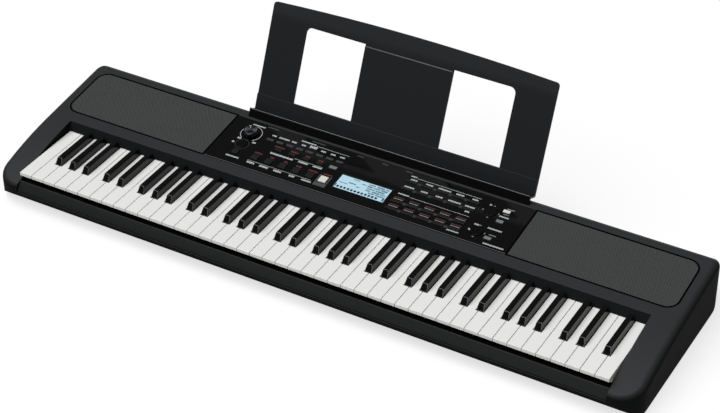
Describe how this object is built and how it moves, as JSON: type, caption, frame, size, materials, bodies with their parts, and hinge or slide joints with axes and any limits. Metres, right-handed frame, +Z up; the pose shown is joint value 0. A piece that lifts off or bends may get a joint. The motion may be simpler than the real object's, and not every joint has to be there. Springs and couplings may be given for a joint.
{
  "type": "arranger keyboard",
  "caption": "Portable arranger keyboard: hinged piano keys in a black case with a button panel, display, speaker grilles, volume knob and lift-off music rest.",
  "frame": {"origin": "on the floor under the middle of the outline, at the height of the feet's undersides", "axes": "+X to the treble end, +Y to the rear, away from the player, +Z up"},
  "size_m": [1.157, 0.3952, 0.278],
  "materials": {
    "white_key_plastic": "polished ivory-white moulding",
    "black_key_plastic": "fine satin black moulding",
    "button_plastic": "satin dark grey moulding",
    "start_button_plastic": "white moulding in a dark cap",
    "case_plastic": "fine-textured black moulding",
    "grille_mesh": "punched sheet, black paint",
    "panel_plastic": "polished black sheet with printing",
    "display_cover": "clear polished cover",
    "foot_rubber": "matt moulded rubber",
    "socket_plastic": "black moulding",
    "chassis_plastic": "grey structural moulding",
    "felt": "dyed wool felt",
    "circuit_board": "solder-masked board",
    "contact_silicone": "moulded silicone",
    "plated_steel": "bright zinc plate",
    "speaker_cone": "pressed paper cone on a black basket",
    "display_body": "pale blue liquid-crystal cell",
    "knob_plastic": "satin black moulding",
    "rest_plastic": "fine-textured black sheet moulding"
  },
  "bodies": {
    "case": {"lower_case": "case_plastic", "upper_case": "case_plastic", "key_slip": "case_plastic", "left_speaker_grille": "grille_mesh", "right_speaker_grille": "grille_mesh", "control_panel": "panel_plastic", "display_window": "display_cover", "rubber_feet": "foot_rubber", "rear_sockets": "socket_plastic", "power_inlet": "socket_plastic", "key_chassis": "chassis_plastic", "key_stop_felt": "felt", "key_contact_board": "circuit_board", "contact_rubber": "contact_silicone", "battery_terminals": "plated_steel", "case_screws": "plated_steel", "left_speaker": "speaker_cone", "right_speaker": "speaker_cone", "panel_board": "circuit_board", "display_module": "display_body", "main_board": "circuit_board"},
    "white_keys_c_e_g_b_octave_1": {"white_keys_c_e_g_b_octave_1": "white_key_plastic"},
    "white_keys_d_f_a_octave_1": {"white_keys_d_f_a_octave_1": "white_key_plastic"},
    "black_keys_octave_1": {"black_keys_octave_1": "black_key_plastic"},
    "white_keys_c_e_g_b_octave_2": {"white_keys_c_e_g_b_octave_2": "white_key_plastic"},
    "black_keys_octave_2": {"black_keys_octave_2": "black_key_plastic"},
    "white_keys_d_f_a_octave_2": {"white_keys_d_f_a_octave_2": "white_key_plastic"},
    "white_key_c": {"white_key_c": "white_key_plastic"},
    "black_key_c_sharp": {"black_key_c_sharp": "black_key_plastic"},
    "white_key_d": {"white_key_d": "white_key_plastic"},
    "black_key_d_sharp": {"black_key_d_sharp": "black_key_plastic"},
    "white_key_e": {"white_key_e": "white_key_plastic"},
    "white_key_f": {"white_key_f": "white_key_plastic"},
    "black_key_f_sharp": {"black_key_f_sharp": "black_key_plastic"},
    "white_key_g": {"white_key_g": "white_key_plastic"},
    "black_key_g_sharp": {"black_key_g_sharp": "black_key_plastic"},
    "white_key_a": {"white_key_a": "white_key_plastic"},
    "black_key_a_sharp": {"black_key_a_sharp": "black_key_plastic"},
    "white_key_b": {"white_key_b": "white_key_plastic"},
    "white_keys_c_e_g_b_octave_4": {"white_keys_c_e_g_b_octave_4": "white_key_plastic"},
    "black_keys_octave_4": {"black_keys_octave_4": "black_key_plastic"},
    "white_keys_d_f_a_octave_4": {"white_keys_d_f_a_octave_4": "white_key_plastic"},
    "white_keys_c_e_g_b_octave_5": {"white_keys_c_e_g_b_octave_5": "white_key_plastic"},
    "black_keys_octave_5": {"black_keys_octave_5": "black_key_plastic"},
    "white_keys_d_f_a_octave_5": {"white_keys_d_f_a_octave_5": "white_key_plastic"},
    "power_button": {"power_button": "button_plastic"},
    "demo_button": {"demo_button": "button_plastic"},
    "style_buttons": {"style_buttons": "button_plastic"},
    "song_buttons": {"song_buttons": "button_plastic"},
    "memory_buttons": {"memory_buttons": "button_plastic"},
    "start_stop_button": {"start_stop_button": "start_button_plastic"},
    "tap_button": {"tap_button": "button_plastic"},
    "voice_buttons": {"voice_buttons": "button_plastic"},
    "number_buttons": {"number_buttons": "button_plastic"},
    "upper_cursor_button": {"upper_cursor_button": "button_plastic"},
    "lower_cursor_button": {"lower_cursor_button": "button_plastic"},
    "side_buttons": {"side_buttons": "button_plastic"},
    "volume_knob": {"volume_knob": "knob_plastic"},
    "music_rest": {"music_rest": "rest_plastic"},
    "battery_cover": {"battery_cover": "case_plastic"}
  },
  "joints": [
    {"name": "white_keys_c_e_g_b_octave_1_pivot", "type": "hinge", "parent": "case", "child": "white_keys_c_e_g_b_octave_1", "pos_m": [0, 0.00641, 0.055], "axis": [1, 0, 0], "range_deg": [0, 3], "stiffness_Nm_per_rad": 3.5, "springref_deg": -5.73},
    {"name": "white_keys_d_f_a_octave_1_pivot", "type": "hinge", "parent": "case", "child": "white_keys_d_f_a_octave_1", "pos_m": [0, 0.00641, 0.055], "axis": [1, 0, 0], "range_deg": [0, 3], "stiffness_Nm_per_rad": 2.5, "springref_deg": -5.73},
    {"name": "black_keys_octave_1_pivot", "type": "hinge", "parent": "case", "child": "black_keys_octave_1", "pos_m": [0, 0.00641, 0.055], "axis": [1, 0, 0], "range_deg": [0, 3], "stiffness_Nm_per_rad": 4, "springref_deg": -5.73},
    {"name": "white_keys_c_e_g_b_octave_2_pivot", "type": "hinge", "parent": "case", "child": "white_keys_c_e_g_b_octave_2", "pos_m": [0, 0.00641, 0.055], "axis": [1, 0, 0], "range_deg": [0, 3], "stiffness_Nm_per_rad": 2, "springref_deg": -5.73},
    {"name": "black_keys_octave_2_pivot", "type": "hinge", "parent": "case", "child": "black_keys_octave_2", "pos_m": [0, 0.00641, 0.055], "axis": [1, 0, 0], "range_deg": [0, 3], "stiffness_Nm_per_rad": 2.5, "springref_deg": -5.73},
    {"name": "white_keys_d_f_a_octave_2_pivot", "type": "hinge", "parent": "case", "child": "white_keys_d_f_a_octave_2", "pos_m": [0, 0.00641, 0.055], "axis": [1, 0, 0], "range_deg": [0, 3], "stiffness_Nm_per_rad": 1.5, "springref_deg": -5.73},
    {"name": "white_key_c_pivot", "type": "hinge", "parent": "case", "child": "white_key_c", "pos_m": [0, 0.00641, 0.055], "axis": [1, 0, 0], "range_deg": [0, 3], "stiffness_Nm_per_rad": 0.5, "springref_deg": -5.73},
    {"name": "black_key_c_sharp_pivot", "type": "hinge", "parent": "case", "child": "black_key_c_sharp", "pos_m": [0, 0.00641, 0.055], "axis": [1, 0, 0], "range_deg": [0, 3], "stiffness_Nm_per_rad": 0.5, "springref_deg": -5.73},
    {"name": "white_key_d_pivot", "type": "hinge", "parent": "case", "child": "white_key_d", "pos_m": [0, 0.00641, 0.055], "axis": [1, 0, 0], "range_deg": [0, 3], "stiffness_Nm_per_rad": 0.5, "springref_deg": -5.73},
    {"name": "black_key_d_sharp_pivot", "type": "hinge", "parent": "case", "child": "black_key_d_sharp", "pos_m": [0, 0.00641, 0.055], "axis": [1, 0, 0], "range_deg": [0, 3], "stiffness_Nm_per_rad": 0.5, "springref_deg": -5.73},
    {"name": "white_key_e_pivot", "type": "hinge", "parent": "case", "child": "white_key_e", "pos_m": [0, 0.00641, 0.055], "axis": [1, 0, 0], "range_deg": [0, 3], "stiffness_Nm_per_rad": 0.5, "springref_deg": -5.73},
    {"name": "white_key_f_pivot", "type": "hinge", "parent": "case", "child": "white_key_f", "pos_m": [0, 0.00641, 0.055], "axis": [1, 0, 0], "range_deg": [0, 3], "stiffness_Nm_per_rad": 0.5, "springref_deg": -5.73},
    {"name": "black_key_f_sharp_pivot", "type": "hinge", "parent": "case", "child": "black_key_f_sharp", "pos_m": [0, 0.00641, 0.055], "axis": [1, 0, 0], "range_deg": [0, 3], "stiffness_Nm_per_rad": 0.5, "springref_deg": -5.73},
    {"name": "white_key_g_pivot", "type": "hinge", "parent": "case", "child": "white_key_g", "pos_m": [0, 0.00641, 0.055], "axis": [1, 0, 0], "range_deg": [0, 3], "stiffness_Nm_per_rad": 0.5, "springref_deg": -5.73},
    {"name": "black_key_g_sharp_pivot", "type": "hinge", "parent": "case", "child": "black_key_g_sharp", "pos_m": [0, 0.00641, 0.055], "axis": [1, 0, 0], "range_deg": [0, 3], "stiffness_Nm_per_rad": 0.5, "springref_deg": -5.73},
    {"name": "white_key_a_pivot", "type": "hinge", "parent": "case", "child": "white_key_a", "pos_m": [0, 0.00641, 0.055], "axis": [1, 0, 0], "range_deg": [0, 3], "stiffness_Nm_per_rad": 0.5, "springref_deg": -5.73},
    {"name": "black_key_a_sharp_pivot", "type": "hinge", "parent": "case", "child": "black_key_a_sharp", "pos_m": [0, 0.00641, 0.055], "axis": [1, 0, 0], "range_deg": [0, 3], "stiffness_Nm_per_rad": 0.5, "springref_deg": -5.73},
    {"name": "white_key_b_pivot", "type": "hinge", "parent": "case", "child": "white_key_b", "pos_m": [0, 0.00641, 0.055], "axis": [1, 0, 0], "range_deg": [0, 3], "stiffness_Nm_per_rad": 0.5, "springref_deg": -5.73},
    {"name": "white_keys_c_e_g_b_octave_4_pivot", "type": "hinge", "parent": "case", "child": "white_keys_c_e_g_b_octave_4", "pos_m": [0, 0.00641, 0.055], "axis": [1, 0, 0], "range_deg": [0, 3], "stiffness_Nm_per_rad": 2, "springref_deg": -5.73},
    {"name": "black_keys_octave_4_pivot", "type": "hinge", "parent": "case", "child": "black_keys_octave_4", "pos_m": [0, 0.00641, 0.055], "axis": [1, 0, 0], "range_deg": [0, 3], "stiffness_Nm_per_rad": 2.5, "springref_deg": -5.73},
    {"name": "white_keys_d_f_a_octave_4_pivot", "type": "hinge", "parent": "case", "child": "white_keys_d_f_a_octave_4", "pos_m": [0, 0.00641, 0.055], "axis": [1, 0, 0], "range_deg": [0, 3], "stiffness_Nm_per_rad": 1.5, "springref_deg": -5.73},
    {"name": "white_keys_c_e_g_b_octave_5_pivot", "type": "hinge", "parent": "case", "child": "white_keys_c_e_g_b_octave_5", "pos_m": [0, 0.00641, 0.055], "axis": [1, 0, 0], "range_deg": [0, 3], "stiffness_Nm_per_rad": 3.5, "springref_deg": -5.73},
    {"name": "black_keys_octave_5_pivot", "type": "hinge", "parent": "case", "child": "black_keys_octave_5", "pos_m": [0, 0.00641, 0.055], "axis": [1, 0, 0], "range_deg": [0, 3], "stiffness_Nm_per_rad": 4, "springref_deg": -5.73},
    {"name": "white_keys_d_f_a_octave_5_pivot", "type": "hinge", "parent": "case", "child": "white_keys_d_f_a_octave_5", "pos_m": [0, 0.00641, 0.055], "axis": [1, 0, 0], "range_deg": [0, 3], "stiffness_Nm_per_rad": 2.5, "springref_deg": -5.73},
    {"name": "power_button_press", "type": "slide", "parent": "case", "child": "power_button", "axis": [0, 0.1149, -0.9934], "range_m": [0, 0.0008], "stiffness_N_per_m": 500, "springref_m": -0.0008},
    {"name": "demo_button_press", "type": "slide", "parent": "case", "child": "demo_button", "axis": [0, 0.1149, -0.9934], "range_m": [0, 0.0008], "stiffness_N_per_m": 500, "springref_m": -0.0008},
    {"name": "style_buttons_press", "type": "slide", "parent": "case", "child": "style_buttons", "axis": [0, 0.1149, -0.9934], "range_m": [0, 0.0008], "stiffness_N_per_m": 4000, "springref_m": -0.0008},
    {"name": "song_buttons_press", "type": "slide", "parent": "case", "child": "song_buttons", "axis": [0, 0.1149, -0.9934], "range_m": [0, 0.0008], "stiffness_N_per_m": 2000, "springref_m": -0.0008},
    {"name": "memory_buttons_press", "type": "slide", "parent": "case", "child": "memory_buttons", "axis": [0, 0.1149, -0.9934], "range_m": [0, 0.0008], "stiffness_N_per_m": 2500, "springref_m": -0.0008},
    {"name": "start_stop_button_press", "type": "slide", "parent": "case", "child": "start_stop_button", "axis": [0, 0.1149, -0.9934], "range_m": [0, 0.0008], "stiffness_N_per_m": 500, "springref_m": -0.0008},
    {"name": "tap_button_press", "type": "slide", "parent": "case", "child": "tap_button", "axis": [0, 0.1149, -0.9934], "range_m": [0, 0.0008], "stiffness_N_per_m": 500, "springref_m": -0.0008},
    {"name": "voice_buttons_press", "type": "slide", "parent": "case", "child": "voice_buttons", "axis": [0, 0.1149, -0.9934], "range_m": [0, 0.0008], "stiffness_N_per_m": 5000, "springref_m": -0.0008},
    {"name": "number_buttons_press", "type": "slide", "parent": "case", "child": "number_buttons", "axis": [0, 0.1149, -0.9934], "range_m": [0, 0.0008], "stiffness_N_per_m": 5000, "springref_m": -0.0008},
    {"name": "upper_cursor_button_press", "type": "slide", "parent": "case", "child": "upper_cursor_button", "axis": [0, 0.1149, -0.9934], "range_m": [0, 0.0008], "stiffness_N_per_m": 500, "springref_m": -0.0008},
    {"name": "lower_cursor_button_press", "type": "slide", "parent": "case", "child": "lower_cursor_button", "axis": [0, 0.1149, -0.9934], "range_m": [0, 0.0008], "stiffness_N_per_m": 500, "springref_m": -0.0008},
    {"name": "side_buttons_press", "type": "slide", "parent": "case", "child": "side_buttons", "axis": [0, 0.1149, -0.9934], "range_m": [0, 0.0008], "stiffness_N_per_m": 1500, "springref_m": -0.0008},
    {"name": "volume_turn", "type": "hinge", "parent": "case", "child": "volume_knob", "pos_m": [-0.2326, 0.06139, 0.09214], "axis": [0, -0.1149, 0.9934], "range_deg": [-186, 114]},
    {"name": "music_rest_lift", "type": "slide", "parent": "case", "child": "music_rest", "axis": [0, 0.3907, 0.9205], "range_m": [0, 0.02]},
    {"name": "battery_cover_slide", "type": "slide", "parent": "case", "child": "battery_cover", "axis": [0, 1, 0], "range_m": [0, 0.055]}
  ]
}
